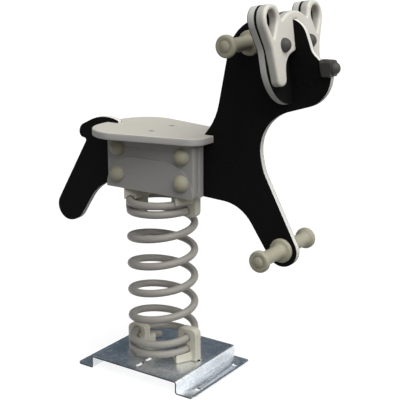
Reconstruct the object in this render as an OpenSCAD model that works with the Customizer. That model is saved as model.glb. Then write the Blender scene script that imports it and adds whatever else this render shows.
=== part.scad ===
// Spring rider: an animal cut from sheet, with a seat, grips and foot pegs, on a coil spring.
// The origin lies on the ground under the spring's axis, +X is the way the animal faces, +Z is up.

/* [Base plate] */
// Distance from the coils' mean circle to the end of the raised top, along X
plate_end_margin = 48; // [42:1:68]
// Distance from the coils' mean circle to the plate's side, along Y
plate_side_margin = 46; // [40:1:78]
// Height of the raised top over the ground
plate_h = 30; // [26:1:50]
// Thickness of the plate's sheet
plate_t = 3.5; // [3:0.5:5]
// Outer radius of the plate's bends
bend_r = 5.5; // [5.5:0.5:8]
// Length of each foot beyond the raised top
foot_l = 43; // [38:1:70]
// Corner radius of the feet
foot_corner_r = 10; // [4:1:20]
// Diameter of the ground anchor holes
anchor_d = 13; // [9:0.5:18]
// Distance between the anchor holes along Y
anchor_spacing_y = 151; // [110:1:180]
// Distance from an anchor hole's centre to the foot's end
anchor_edge = 15.5; // [11:0.5:18]
// End to end length of the slots for the clamp bolts
slot_l = 23; // [18:0.5:25]

/* [Spring] */
// Diameter of the spring's wire
wire_d = 17; // [14:0.5:17.5]
// Mean diameter of the coils
coil_d = 144; // [138:1:150]
// Number of turns
spring_turns = 8; // [7.75:0.25:9]
// Rise of one closed turn at the bottom
closed_pitch = 22; // [20.5:0.5:24]
// Rise of one closed turn at the top
top_closed_pitch = 19.5; // [19:0.5:22]
// Closed turns at the bottom
bottom_closed_turns = 1.5; // [1.4:0.05:1.7]
// Closed turns at the top
top_closed_turns = 1.74; // [1.6:0.02:1.8]
// Direction of the wire's two ends, anticlockwise from +X
wire_end_angle = 131; // [120:1:140]
// Distance from the base plate to the mounting plate
spring_h = 391; // [370:1:430]
// Gap between the wire's ends and the plates
wire_end_gap = 3.5; // [3:0.5:6]

/* [Spring clamps] */
// Width of the clamps along the wire
clamp_w = 21; // [18:1:26]
// Wall between the wire and a clamp bolt
clamp_wall = 4.8; // [4:0.1:7]
// Wall between a clamp bolt and the clamp's side
clamp_edge = 4; // [3:0.5:6]
// Corner radius of a clamp's free end
clamp_round = 13; // [8:1:15]
// Material over the wire at a clamp's free end
clamp_cover = 6; // [4:0.5:9]
// Extra material over the wire on the lower front clamp
front_cover = 7; // [0:0.5:10]
// Angle that a clamp's saddle follows the wire to each side
saddle_angle = 34; // [25:1:36]
// Distance from the wire to the saddle's inner side
saddle_in = 6; // [5:0.5:9]
// Distance from the wire to the saddle's outer side at its ends
saddle_out = 1.5; // [1.5:0.25:4]
// Distance from the wire to an upper clamp's saddle's outer side at its ends
upper_saddle_out = 5.5; // [1.5:0.25:6]
// Height of the saddle
saddle_h = 21; // [18:0.5:22]
// Height of the upper rear clamp's saddle
rear_saddle_h = 26; // [18:0.5:28]
// Diameter of the clamp bolts
clamp_bolt_d = 8; // [6:1:8]
// Depth of the clamp bolts in a clamp
clamp_bolt_grip = 26; // [18:1:32]

/* [Seat box] */
// Thickness of the body sheet
panel_t = 14; // [14:0.5:19]
// Thickness of each side plate
side_t = 20; // [15:0.5:22]
// Length of the side plates
box_l = 235; // [225:1:260]
// Height of the side plates
box_h = 119.5; // [110:0.5:140]
// Thickness of the side flaps
flap_t = 3; // [2:0.5:5]
// Distance from the upper studs down to the top of the side flaps
flap_drop = 14.5; // [13:0.5:20]
// Height of the straight toe under the side flaps' arcs
flap_toe = 2; // [1:0.5:6]
// Distance from the box studs to the side plates' ends
stud_inset = 30.5; // [26:0.5:40]
// Height of the lower studs, as a share of the box's height
stud_low_share = 0.268; // [0.24:0.002:0.28]
// Height of the upper studs, as a share of the box's height
stud_high_share = 0.749; // [0.73:0.002:0.77]
// Diameter of the box studs
stud_d = 10; // [8:1:10]
// Diameter of the domed stud caps
cap_d = 38; // [34:1:42]
// Height of the domed stud caps
cap_h = 13; // [12:0.5:16]
// Length of the steel mounting plate beyond the clamps at each end
mount_end_margin = 12.7; // [8:0.1:15]
// Thickness of the steel mounting plate
mount_t = 6; // [5:0.5:8]

/* [Seat] */
// Thickness of the seat
seat_t = 16; // [12:0.5:20]
// Reach of the seat behind the box's middle
seat_rear = 147; // [142:1:162]
// Reach of the seat before the box's middle
seat_front = 141; // [136:1:155]
// Half width of the seat's rear edge before its corners are rounded
seat_rear_half = 129.5; // [125:0.5:150]
// Half width of the seat's front edge before its corners are rounded
seat_front_half = 63; // [60:0.5:80]
// Corner radius of the seat's rear
seat_rear_r = 77; // [50:1:82]
// Corner radius of the seat's front
seat_front_r = 37; // [30:1:50]

/* [Handles and foot pegs] */
// Length of a grip from the body sheet to its end
grip_l = 95.5; // [80:0.5:110]
// Diameter of a grip's shaft
grip_d = 29; // [27:0.5:34]
// Diameter of a grip's flange
grip_flange_d = 51; // [44:1:56]
// Thickness of a grip's flange
grip_flange_t = 8; // [5:0.5:10]
// Diameter of a grip's end ring
grip_end_d = 45; // [40:1:50]
// Thickness of a grip's end ring
grip_end_t = 13; // [11:0.5:16]
// Diameter of the domed plug in a grip's end
plug_d = 24; // [22:0.5:26]
// Height of the plug's dome over the grip's end
plug_dome_h = 4; // [2:0.5:6]
// Diameter of the rods through the grips
rod_d = 10; // [8:1:10]

/* [Head] */
// Thickness of the face plates
face_t = 19; // [15:0.5:20]
// Backward lean of the face plates, in degrees
face_lean = 8; // [4:0.5:10]
// Radius of an ear
ear_r = 28; // [26.5:0.5:30]
// Radius of the round part of an ear's hole
ear_hole_r = 18.5; // [15:0.5:19]
// Distance from the body's middle to an ear's centre
ear_y = 86.5; // [84:0.5:90]
// Distance from the body's middle to an eye's centre
eye_y = 51.5; // [51:0.5:60]
// Diameter of an eye
eye_d = 28; // [24:1:32]
// Height of an eye
eye_h = 13; // [10:0.5:14]
// Width of the nose block
nose_w = 32; // [29:1:36]
// Height of the nose block
nose_h = 32; // [30:1:34]
// Length of the nose block along the snout
nose_l = 27; // [22:1:30]
// Diameter of the nose's ball
nose_d = 25; // [20:1:27]

/* [Fits] */
// Gap at each side of a sheet in its slot
slot_gap = 0.3; // [0.2:0.05:0.5]
// Difference between a hole and its bolt
hole_gap = 0.5; // [0.3:0.1:0.8]
// Gap between the wire and its clamp
wire_gap = 0.6; // [0.5:0.1:0.9]

/* [Hidden] */
$fn = 64;
arc_step = 6;
arc_share = 0.995;
eps = 0.01;

// Colours
galvanised = [0.62, 0.66, 0.69];
steel = [0.55, 0.56, 0.57];
spring_grey = [0.62, 0.61, 0.58];
clamp_cream = [0.72, 0.69, 0.60];
khaki = [0.62, 0.59, 0.51];
sheet_black = [0.06, 0.06, 0.06];
sheet_light = [0.78, 0.76, 0.71];
sheet_grey = [0.60, 0.60, 0.585];
mask_white = [0.87, 0.85, 0.80];
dark_grey = [0.28, 0.28, 0.27];

// Base plate
plate_l = coil_d + 2 * plate_end_margin;
plate_w = coil_d + 2 * plate_side_margin;
plate_reach = plate_l / 2 + foot_l;
anchor_spacing_x = 2 * (plate_reach - anchor_edge);
slot_w = clamp_bolt_d + 1;
slot_shift = 2;

// Spring, with places along the wire counted in turns from its lower end
coil_r = coil_d / 2;
wire_r = wire_d / 2;
wire_start_z = plate_h + wire_end_gap + wire_r;
wire_stop_z = plate_h + spring_h - wire_end_gap - wire_r;
closed_rise = closed_pitch * bottom_closed_turns + top_closed_pitch * top_closed_turns;
free_turns = spring_turns - bottom_closed_turns - top_closed_turns;
free_pitch = (wire_stop_z - wire_start_z - closed_rise) / free_turns;
pitch_ramp = 0.3;
rings_per_turn = 24;
wire_sides = 10;
ring_count = round(spring_turns * rings_per_turn);

function ramp(x) =
    x < -pitch_ramp / 2 ? 0 : x > pitch_ramp / 2 ? x : pow(x + pitch_ramp / 2, 2) / (2 * pitch_ramp);
function opening(t) = (free_pitch - closed_pitch) * ramp(t - bottom_closed_turns);
function closing(t) = (free_pitch - top_closed_pitch) * ramp(t - spring_turns + top_closed_turns);
function wire_z(t) = wire_start_z + closed_pitch * t + opening(t) - closing(t);
function wire_slope(t) = atan((wire_z(t + eps) - wire_z(t - eps)) / (2 * eps * PI * coil_d));
function wire_angle(t) = wire_end_angle + 360 * t;
function wire_centre(t) = [coil_r * cos(wire_angle(t)), coil_r * sin(wire_angle(t)), wire_z(t)];
function ring_centre(i) = wire_centre(i * spring_turns / ring_count);
function first_turn(angle) = ((angle - wire_end_angle + 720) % 360) / 360;
function last_turn(angle) = first_turn(angle) + floor(spring_turns - first_turn(angle));

// Spring clamps, drawn at angle 0 with the wire along Y
front = 0;
rear = 180;
clamp_bolt_offset = wire_r + clamp_wall + clamp_bolt_d / 2;
clamp_bolt_radii = [coil_r - clamp_bolt_offset, coil_r + clamp_bolt_offset];
clamp_half = clamp_bolt_offset + clamp_bolt_d / 2 + clamp_edge;
ring_sag = coil_r * (1 - cos(180 / rings_per_turn));
channel_d = wire_d + ring_sag + 2 * wire_gap;
channel_angle = saddle_angle + 8;
saddle_bulge = 3;

function saddle_corners(out) = [
    for (r = [coil_r - wire_r - saddle_in, coil_r + wire_r + out])
        [r * cos(saddle_angle), r * sin(saddle_angle), 2],
    [coil_r + wire_r + out + saddle_bulge, clamp_w / 2, 4]
];

bolt_head_w = clamp_bolt_d + 5;
bolt_head_h = 0.65 * clamp_bolt_d;
bolt_head_room = 1;
washer_d = 2.5 * clamp_bolt_d;
washer_t = 1.6;

// Rider, drawn with its underside at height 0
mount_l = 2 * (coil_r + clamp_half + mount_end_margin);
rider_z = plate_h + spring_h;
inner_y = panel_t / 2;
outer_y = inner_y + side_t;
side_y = outer_y + side_t;
flap_y = side_y + flap_t;
stud_x = box_l / 2 - stud_inset;
stud_low = stud_low_share * box_h;
stud_high = stud_high_share * box_h;
stud_levels = [[stud_low, flap_y], [stud_high, side_y]];
flap_h = stud_high - flap_drop;
flap_r = flap_h - flap_toe;
cap_rim = 2.5;
nut_h = 6;
nut_room = 1;
screw_d = 6;
screw_head_d = 12;
screw_head_h = 3.5;
screw_l = 40;
mount_screw_x = 22;
mount_screw_y = inner_y + side_t / 2;
seat_screw_y = outer_y + side_t / 2;

// Body outline: corners as [x, z, radius], each group set from a corner of the seat box
box_rear = -box_l / 2;
box_front = box_l / 2;
head_top = 265;
snout_x = 290.5;
tail_x = -116;
tail_corners = [
    [0, 0, 0], [0, 20.5, 2], [-42.5, 34.5, 108.5], [tail_x, -1.5, 23], [tail_x, -29, 13.5], [-92.5, -28, 6]
];
hind_leg_corners = [[-222, -124, 34.5], [-128, -113, 52.5], [-71.5, -26.5, 119.5], [-7, 10, 40]];
foreleg_corners = [[93.5, -5, 88], [179.5, -130.5, 36.5], [241, -104.5, 35], [145, 73, 99.5]];
head_corners = [
    [121.5, 57.5, 86], [snout_x, 110.5, 65], [snout_x, 166.5, 9.5], [248.5, 201.5, 35],
    [224, head_top, 43], [72, head_top, 91.5], [28.5, 48.5, 135.5], [0, 16, 2]
];

function moved(corners, x, y) = [for (c = corners) [c[0] + x, c[1] + y, c[2]]];

panel_corners = concat(
    moved(tail_corners, box_rear, box_h),
    moved(hind_leg_corners, box_rear, 0),
    moved(foreleg_corners, box_front, 0),
    moved(head_corners, box_front, box_h),
    [[box_front, box_h, 0]]
);
forehead_z = box_h + head_top;
handle_x = 110.5;
handle_rise = 213.5;
peg_x = 193;
peg_drop = 86;
handle_at = [box_front + handle_x, box_h + handle_rise];
peg_at = [box_front + peg_x, -peg_drop];

// Grips, drawn along Z from the body sheet
plug_depth = 11;
plug_seat = grip_l - plug_depth;
rod_reach = panel_t / 2 + plug_seat + nut_h;
rod_hole_r = (rod_d + hole_gap) / 2;
plug_hole_r = plug_d / 2 + slot_gap;
grip_flare = 5;

// Face plates, drawn as [y, height] on the plates' own plane, whose front is the mask's
face_x = 213;
face_rise = 221.5;
face_at = [box_front + face_x, box_h + face_rise];
ear_v = 47;
ear_tip_v = 15;
ear_tip_r = 3;
ear_in = ear_y - ear_r + 4;
ear_out = ear_y + ear_r;
ear_top = ear_v + ear_r + 0.5;
ear_corners = [
    [22, 59.5, 128], [52, 42.5, 5], [ear_in, ear_top, 22], [ear_out, ear_top, ear_r],
    [ear_out + 1, ear_v - 7, 30]
];
back_corners = concat(ear_corners, [[91, -8, 40], [85, -120, 84]]);
mask_corners = concat(
    ear_corners,
    [[94.5, -8, 40], [82, -79.5, 14], [53.5, -79.5, 14], [50.5, -28.5, 34], [panel_t / 2, -16.5, 0]]
);
eye_v = -2.5;
eye_rim = 1.5;
eye_bolt_depth = 6;
eye_bolt_head_w = 10;
eye_bolt_head_h = 4;
bracket_t = 3;
bracket_h = 40;
bracket_l = 33;
bracket_w = 34;
bracket_bolt_x = -2 * face_t - 20;
bracket_screw_y = panel_t / 2 + 22;
bracket_screw_l = 14;
bracket_head_w = 10;
bracket_head_h = 4;
bracket_hole_v = [-11, 11];

// Nose, set from the middle of the snout's end
nose_rise = 174.5;
nose_at = [box_front + snout_x, box_h + nose_rise];
nose_wall = 3;
nose_rake = 8;
nose_round = 11;
nose_rim = 1;
nose_screw_depth = 6;
nose_screw_reach = 34;

function unit(v) = v / norm(v);
function turned(v, a) = [v[0] * cos(a) - v[1] * sin(a), v[0] * sin(a) + v[1] * cos(a)];
function mirrored(corners) =
    [for (i = [len(corners) - 1 : -1 : 0]) [-corners[i][0], corners[i][1], corners[i][2]]];

// Points of the arc that rounds corner b, between its neighbours a and c
function corner_arc(a, b, c, r) =
    let (u = unit(a - b), w = unit(c - b), half = acos(u * w) / 2)
    let (centre = b + unit(u + w) * r / sin(half), from = b + u * r / tan(half) - centre)
    let (sweep = (180 - 2 * half) * sign(cross(b - a, c - b)), steps = ceil(abs(sweep) / arc_step))
    [for (i = [0 : steps]) centre + turned(from, sweep * i / steps)];

// Length that the arc at corner b takes from each of its two sides
function corner_run(a, b, c, r) = r / tan(acos(unit(a - b) * unit(c - b)) / 2);

// Points of a closed outline whose corners are [x, y, radius]; two arcs that share a side shrink to fit it
function rounded(corners) =
    let (n = len(corners), flat = [for (c = corners) [c[0], c[1]]])
    let (before = [for (i = [0 : n - 1]) flat[(i + n - 1) % n]])
    let (after = [for (i = [0 : n - 1]) flat[(i + 1) % n]])
    let (runs = [for (i = [0 : n - 1]) corner_run(before[i], flat[i], after[i], corners[i][2])])
    let (fits = [
        for (i = [0 : n - 1])
            arc_share * norm(after[i] - flat[i]) / max(runs[i] + runs[(i + 1) % n], eps)
    ])
    [
        for (i = [0 : n - 1]) let (r = corners[i][2] * min(1, fits[i], fits[(i + n - 1) % n]))
            each r > 0 ? corner_arc(before[i], flat[i], after[i], r) : [flat[i]]
    ];

// Half profile, as [radius, height], of a dome of diameter d and full height h on a straight rim
function dome(d, h, rim) =
    let (rise = h - rim, big = (pow(d / 2, 2) + pow(rise, 2)) / (2 * rise), wide = asin(d / 2 / big))
    [
        [0, 0], [d / 2, 0],
        for (i = [0 : 12]) let (a = wide * (1 - i / 12)) [big * sin(a), h - big + big * cos(a)]
    ];

// General shapes
module along_y(length) rotate([90, 0, 0]) linear_extrude(length, center = true) children();
module sheet_at(y, thickness) translate([0, y + thickness / 2, 0]) along_y(thickness) children();
module rod_y(at, d, length)
    translate([at[0], 0, at[1]]) rotate([90, 0, 0]) cylinder(d = d, h = length, center = true);
module hex(width, height) cylinder(d = width / cos(30), h = height, $fn = 6);
module nut(bore) difference() {
    hex(bore + 7, nut_h);
    cylinder(d = bore + hole_gap, h = 3 * nut_h, center = true);
}
module flipped(up) mirror([0, 0, up < 0 ? 1 : 0]) children();
module on_rider() translate([0, 0, rider_z]) children();
module to_left() mirror([0, 1, 0]) children();
module both_sides() {
    children();
    to_left() children();
}

// Screws, drawn with the head's face at height 0 and the point up
module screw() {
    cylinder(d1 = screw_head_d, d2 = screw_d, h = screw_head_h);
    cylinder(d = screw_d, h = screw_l);
}
module screw_hole() {
    translate([0, 0, -eps])
        cylinder(d1 = screw_head_d + hole_gap, d2 = screw_d + hole_gap, h = screw_head_h + eps);
    pilot_hole();
}
module pilot_hole() cylinder(d = screw_d + hole_gap, h = screw_l + 1);

// Base plate
module hat_outline() {
    half = plate_l / 2;
    inner = half - plate_t;
    small_r = bend_r - plate_t;
    right_half = [
        [inner, plate_h - plate_t, small_r], [inner, 0, bend_r], [plate_reach, 0, 0],
        [plate_reach, plate_t, 0], [half, plate_t, small_r], [half, plate_h, bend_r]
    ];
    polygon(rounded(concat(right_half, mirrored(right_half))));
}
module slot() linear_extrude(2 * plate_t, center = true) {
    square([slot_l - slot_w, slot_w], center = true);
    for (s = [-1, 1]) translate([s * (slot_l - slot_w) / 2, 0]) circle(d = slot_w);
}
module base_plate() color(galvanised) difference() {
    intersection() {
        along_y(plate_w) hat_outline();
        linear_extrude(plate_h) polygon(rounded([
            for (s = [[1, 1], [-1, 1], [-1, -1], [1, -1]])
                [s[0] * plate_reach, s[1] * plate_w / 2, foot_corner_r]
        ]));
    }
    for (x = [-1, 1], y = [-1, 1])
        translate([x * anchor_spacing_x / 2, y * anchor_spacing_y / 2, plate_t / 2])
            cylinder(d = anchor_d, h = 2 * plate_t, center = true);
    for (angle = [0 : 90 : 270], r = clamp_bolt_radii)
        rotate([0, 0, angle]) translate([r + slot_shift, 0, plate_h - plate_t / 2]) slot();
}

// Spring clamps: seat_z is the plate that a clamp sits on, and up is 1 over it or -1 under it
module clamp(angle, seat_z, up, turns, cover, saddle_reach, saddle_height) {
    corners = saddle_corners(saddle_reach);
    reach = max([for (t = turns) up * (wire_z(t) - seat_z)]) + wire_r + cover;
    inner = coil_r - clamp_half;
    outer = coil_r + clamp_half;
    rotate([0, 0, angle]) difference() {
        translate([0, 0, seat_z]) flipped(up) {
            along_y(clamp_w) polygon(rounded([
                [inner, 0, 0], [outer, 0, 0], [outer, reach, clamp_round], [inner, reach, clamp_round]
            ]));
            linear_extrude(saddle_height) polygon(rounded([
                for (s = [[0, -1], [1, -1], [2, -1], [2, 1], [1, 1], [0, 1]])
                    let (c = corners[s[0]]) [c[0], s[1] * c[1], c[2]]
            ]));
        }
        for (t = turns) translate([0, 0, wire_z(t)]) rotate([wire_slope(t), 0, 0])
            rotate([0, 0, -channel_angle]) rotate_extrude(angle = 2 * channel_angle)
                translate([coil_r - ring_sag / 2, 0]) circle(d = channel_d);
        for (r = clamp_bolt_radii) translate([r, 0, seat_z])
            cylinder(d = clamp_bolt_d + hole_gap, h = 2 * (clamp_bolt_grip + 1), center = true);
    }
}
module at_clamp_bolts() for (angle = [front, rear], r = clamp_bolt_radii)
    rotate([0, 0, angle]) translate([r, 0, 0]) children();
module clamp_bolt(seat_z, sheet, up) translate([0, 0, seat_z]) flipped(up) translate([0, 0, -sheet]) {
    translate([0, 0, -bolt_head_h]) hex(bolt_head_w, bolt_head_h);
    translate([0, 0, -bolt_head_h]) cylinder(d = clamp_bolt_d, h = bolt_head_h + sheet + clamp_bolt_grip);
}
module lower_front_clamp() color(clamp_cream)
    clamp(front, plate_h, 1, [first_turn(front), first_turn(front) + 1], clamp_cover + front_cover,
        saddle_out, saddle_h);
module lower_rear_clamp() color(clamp_cream)
    clamp(rear, plate_h, 1, [first_turn(rear), first_turn(rear) + 1], clamp_cover, saddle_out, saddle_h);
module lower_clamp_bolts() color(steel) at_clamp_bolts() clamp_bolt(plate_h, plate_t + washer_t, 1);
module lower_clamp_washers() color(steel) at_clamp_bolts()
    translate([0, 0, plate_h - plate_t - washer_t]) difference() {
        cylinder(d = washer_d, h = washer_t);
        cylinder(d = clamp_bolt_d + hole_gap, h = 3 * washer_t, center = true);
    }
module upper_front_clamp() color(clamp_cream)
    clamp(front, rider_z, -1, [last_turn(front), last_turn(front) - 1], clamp_cover,
        upper_saddle_out, saddle_h);
module upper_rear_clamp() color(clamp_cream)
    clamp(rear, rider_z, -1, [last_turn(rear), last_turn(rear) - 1], clamp_cover,
        upper_saddle_out, rear_saddle_h);
module upper_clamp_bolts() color(steel) at_clamp_bolts() clamp_bolt(rider_z, mount_t, -1);

// Spring: one unbroken tube of triangles along the helix
module spring() color(spring_grey) {
    points = [
        for (i = [0 : ring_count], k = [0 : wire_sides - 1])
            let (t = i * spring_turns / ring_count, a = 360 * k / wire_sides)
            let (s = wire_slope(t), w = wire_angle(t))
            let (out = [cos(w), sin(w), 0], over = [sin(s) * sin(w), -sin(s) * cos(w), cos(s)])
            wire_centre(t) + wire_r * (cos(a) * out + sin(a) * over)
    ];
    last = ring_count * wire_sides;
    sides = [
        for (i = [0 : ring_count - 1], k = [0 : wire_sides - 1])
            let (a = i * wire_sides + k, b = i * wire_sides + (k + 1) % wire_sides)
            each [[a, b + wire_sides, b], [a, a + wire_sides, b + wire_sides]]
    ];
    ends = [for (k = [1 : wire_sides - 2]) each [[0, k, k + 1], [last, last + k + 1, last + k]]];
    gaps = [
        for (i = [0 : ring_count], j = [i + rings_per_turn / 2 : 1 : min(ring_count, i + 2 * rings_per_turn)])
            norm(ring_centre(i) - ring_centre(j)) - wire_d
    ];
    echo(least_gap_between_turns = min(gaps));
    polyhedron(points, concat(sides, ends));
}

// Steel plate that joins the upper clamps to the seat box
module mount_recess() translate([-mount_l / 2 - slot_gap, -outer_y - eps, -1])
    cube([mount_l + 2 * slot_gap, 2 * (outer_y + eps), mount_t + 1]);
module at_mount_screws() for (x = [-1, 1], y = [-1, 1])
    translate([x * mount_screw_x, y * mount_screw_y, 0]) children();
module mount_plate() color(steel) on_rider() difference() {
    translate([-mount_l / 2, slot_gap - outer_y, 0]) cube([mount_l, 2 * (outer_y - slot_gap), mount_t]);
    at_clamp_bolts() cylinder(d = clamp_bolt_d + hole_gap, h = 3 * mount_t, center = true);
    at_mount_screws() screw_hole();
}
module mount_plate_screws() color(steel) on_rider() at_mount_screws() screw();

// Seat box, drawn on the right
module stud_holes() for (x = [-stud_x, stud_x], level = stud_levels)
    rod_y([x, level[0]], stud_d + hole_gap, 3 * flap_y);
module at_stud_ends() for (x = [-stud_x, stud_x], level = stud_levels)
    translate([x, -level[1], level[0]]) rotate([90, 0, 0]) children();
module box_outline() translate([box_rear, 0]) square([box_l, box_h]);
module at_seat_screws() both_sides()
    translate([0, seat_screw_y, box_h + seat_t]) mirror([0, 0, 1]) children();
module inner_plate() difference() {
    sheet_at(-outer_y, side_t) box_outline();
    stud_holes();
    mount_recess();
    at_mount_screws() pilot_hole();
}
module outer_plate() difference() {
    sheet_at(-side_y, side_t) box_outline();
    stud_holes();
    at_seat_screws() pilot_hole();
}
module flap() difference() {
    sheet_at(-flap_y, flap_t) polygon(rounded([
        [box_rear, 0, 0], [box_front, 0, 0], [box_front, flap_h, flap_r], [box_rear, flap_h, flap_r]
    ]));
    stud_holes();
}
module stud_caps() at_stud_ends() difference() {
    rotate_extrude() polygon(dome(cap_d, cap_h, cap_rim));
    translate([0, 0, -1]) cylinder(d = (stud_d + 7) / cos(30) + 2 * nut_room, h = nut_h + nut_room + 1);
}
module right_inner_plate() color(sheet_grey) on_rider() inner_plate();
module left_inner_plate() color(sheet_grey) on_rider() to_left() inner_plate();
module right_outer_plate() color(sheet_grey) on_rider() outer_plate();
module left_outer_plate() color(sheet_grey) on_rider() to_left() outer_plate();
module right_flap() color(sheet_grey) on_rider() flap();
module left_flap() color(sheet_grey) on_rider() to_left() flap();
module box_studs() color(steel) on_rider() for (x = [-stud_x, stud_x], level = stud_levels)
    rod_y([x, level[0]], stud_d, 2 * (level[1] + nut_h));
module box_nuts() color(steel) on_rider() both_sides() at_stud_ends() nut(stud_d);
module right_stud_caps() color(khaki) on_rider() stud_caps();
module left_stud_caps() color(khaki) on_rider() to_left() stud_caps();

// Body sheet
module body_panel() color(sheet_black) on_rider() difference() {
    along_y(panel_t) polygon(rounded(panel_corners));
    stud_holes();
    mount_recess();
    at_clamp_bolts() translate([0, 0, mount_t])
        cube([bolt_head_w + 5, 2 * panel_t, 2 * (bolt_head_h + bolt_head_room)], center = true);
    for (at = [handle_at, peg_at]) rod_y(at, rod_d + hole_gap, 2 * panel_t);
    at_face() for (v = bracket_hole_v) rod_y([bracket_bolt_x, v], screw_d + hole_gap, 2 * panel_t);
    at_nose() translate([0, 0, 1]) rod_in(screw_d + hole_gap, nose_screw_reach + 2);
}

// Seat, with a slot at each end for the body sheet
module seat() color(sheet_light) on_rider() difference() {
    translate([0, 0, box_h]) linear_extrude(seat_t) difference() {
        polygon(rounded([
            [-seat_rear, -seat_rear_half, seat_rear_r], [seat_front, -seat_front_half, seat_front_r],
            [seat_front, seat_front_half, seat_front_r], [-seat_rear, seat_rear_half, seat_rear_r]
        ]));
        for (s = [[-seat_rear - 1, box_rear + slot_gap], [box_front - slot_gap, seat_front + 1]])
            translate([s[0], -panel_t / 2 - slot_gap]) square([s[1] - s[0], panel_t + 2 * slot_gap]);
    }
    at_seat_screws() screw_hole();
}
module seat_screws() color(steel) on_rider() at_seat_screws() screw();

// Handles and foot pegs: one turned grip, used four times
module grip() rotate_extrude() polygon(rounded([
    [rod_hole_r, 0, 0], [grip_flange_d / 2, 0, 1.5], [grip_flange_d / 2, grip_flange_t, 3],
    [grip_d / 2, grip_flange_t + 4, 4], [grip_d / 2, grip_l - grip_end_t - grip_flare, 5],
    [grip_end_d / 2, grip_l - grip_end_t, 4], [grip_end_d / 2, grip_l, 5],
    [plug_hole_r, grip_l, 1], [plug_hole_r, plug_seat, 0], [rod_hole_r, plug_seat, 0]
]));
module on_right(at) translate([at[0], -panel_t / 2, at[1]]) rotate([90, 0, 0]) children();
module at_grip_ends() both_sides() for (at = [handle_at, peg_at])
    on_right(at) translate([0, 0, plug_seat]) children();
module right_handle() color(khaki) on_rider() on_right(handle_at) grip();
module left_handle() color(khaki) on_rider() to_left() on_right(handle_at) grip();
module right_foot_peg() color(khaki) on_rider() on_right(peg_at) grip();
module left_foot_peg() color(khaki) on_rider() to_left() on_right(peg_at) grip();
module grip_rods() color(steel) on_rider() for (at = [handle_at, peg_at]) rod_y(at, rod_d, 2 * rod_reach);
module grip_nuts() color(steel) on_rider() at_grip_ends() nut(rod_d);
module grip_plugs() color(khaki) on_rider() at_grip_ends() translate([0, 0, nut_h])
    rotate_extrude() polygon(dome(plug_d, plug_depth - nut_h + plug_dome_h, plug_depth - nut_h));

// Face plates: drawn on a leaning frame whose X points out of the face
module at_face() translate([face_at[0], 0, face_at[1]]) rotate([0, -face_lean, 0]) children();
module at_eyes() at_face() both_sides() translate([0, eye_y, eye_v]) rotate([0, 90, 0]) children();
module at_bracket_screws() at_face() both_sides() for (v = bracket_hole_v)
    translate([-2 * face_t - bracket_t, bracket_screw_y, v]) rotate([0, 90, 0]) children();
module ear_hole() {
    lean = asin((ear_hole_r - ear_tip_r) / (ear_v - ear_tip_v));
    translate([0, ear_v]) circle(r = ear_hole_r);
    translate([0, ear_tip_v]) circle(r = ear_tip_r);
    polygon([
        [ear_hole_r * cos(lean), ear_v - ear_hole_r * sin(lean)],
        [-ear_hole_r * cos(lean), ear_v - ear_hole_r * sin(lean)],
        [-ear_tip_r * cos(lean), ear_tip_v - ear_tip_r * sin(lean)],
        [ear_tip_r * cos(lean), ear_tip_v - ear_tip_r * sin(lean)]
    ]);
}
module face_sheet(depth, corners) difference() {
    at_face() translate([-depth - face_t, 0, 0]) rotate([90, 0, 90]) linear_extrude(face_t) difference() {
        polygon(rounded(concat(mirrored(corners), corners)));
        for (s = [-1, 1]) translate([s * ear_y, 0]) ear_hole();
    }
    translate([0, -panel_t / 2 - slot_gap, 0])
        cube([2 * face_at[0], panel_t + 2 * slot_gap, forehead_z + slot_gap]);
    at_eyes() cylinder(d = screw_d + hole_gap, h = 5 * face_t, center = true);
}
module face_back_plate() color(sheet_black) on_rider() difference() {
    face_sheet(face_t, back_corners);
    at_bracket_screws() cylinder(d = screw_d + hole_gap, h = bracket_screw_l + 1);
}
module face_mask() color(mask_white) on_rider() face_sheet(0, mask_corners);
module eyes() color(dark_grey) on_rider() at_eyes() difference() {
    rotate_extrude() polygon(dome(eye_d, eye_h, eye_rim));
    translate([0, 0, -1]) cylinder(d = screw_d + hole_gap, h = eye_bolt_depth + 2);
}
module eye_bolts() color(steel) on_rider() at_eyes() translate([0, 0, -2 * face_t - eye_bolt_head_h]) {
    hex(eye_bolt_head_w, eye_bolt_head_h);
    cylinder(d = screw_d, h = eye_bolt_head_h + 2 * face_t + eye_bolt_depth);
}

// Brackets between the body sheet and the face plates
module head_bracket() difference() {
    translate([-2 * face_t, panel_t / 2, -bracket_h / 2]) mirror([1, 0, 0]) {
        cube([bracket_t, bracket_w, bracket_h]);
        cube([bracket_l, bracket_t, bracket_h]);
    }
    for (v = bracket_hole_v) rod_y([bracket_bolt_x, v], screw_d + hole_gap, 4 * panel_t);
}
module head_brackets() color(steel) on_rider() difference() {
    at_face() both_sides() head_bracket();
    at_bracket_screws() cylinder(d = screw_d + hole_gap, h = 3 * bracket_t, center = true);
}
module at_bracket_bolts(y) at_face() for (v = bracket_hole_v)
    translate([bracket_bolt_x, y, v]) rotate([90, 0, 0]) children();
module head_bracket_bolts() color(steel) on_rider() at_bracket_bolts(-panel_t / 2 - bracket_t) {
    hex(bracket_head_w, bracket_head_h);
    translate([0, 0, -panel_t - 2 * bracket_t - nut_h])
        cylinder(d = screw_d, h = panel_t + 2 * bracket_t + nut_h + bracket_head_h);
}
module head_bracket_nuts() color(steel) on_rider()
    at_bracket_bolts(panel_t / 2 + bracket_t + nut_h) nut(screw_d);
module head_bracket_screws() color(steel) on_rider() at_bracket_screws() {
    translate([0, 0, -bracket_head_h]) cylinder(d = bracket_head_w, h = bracket_head_h);
    translate([0, 0, -bracket_head_h]) cylinder(d = screw_d, h = bracket_head_h + bracket_screw_l);
}

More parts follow.
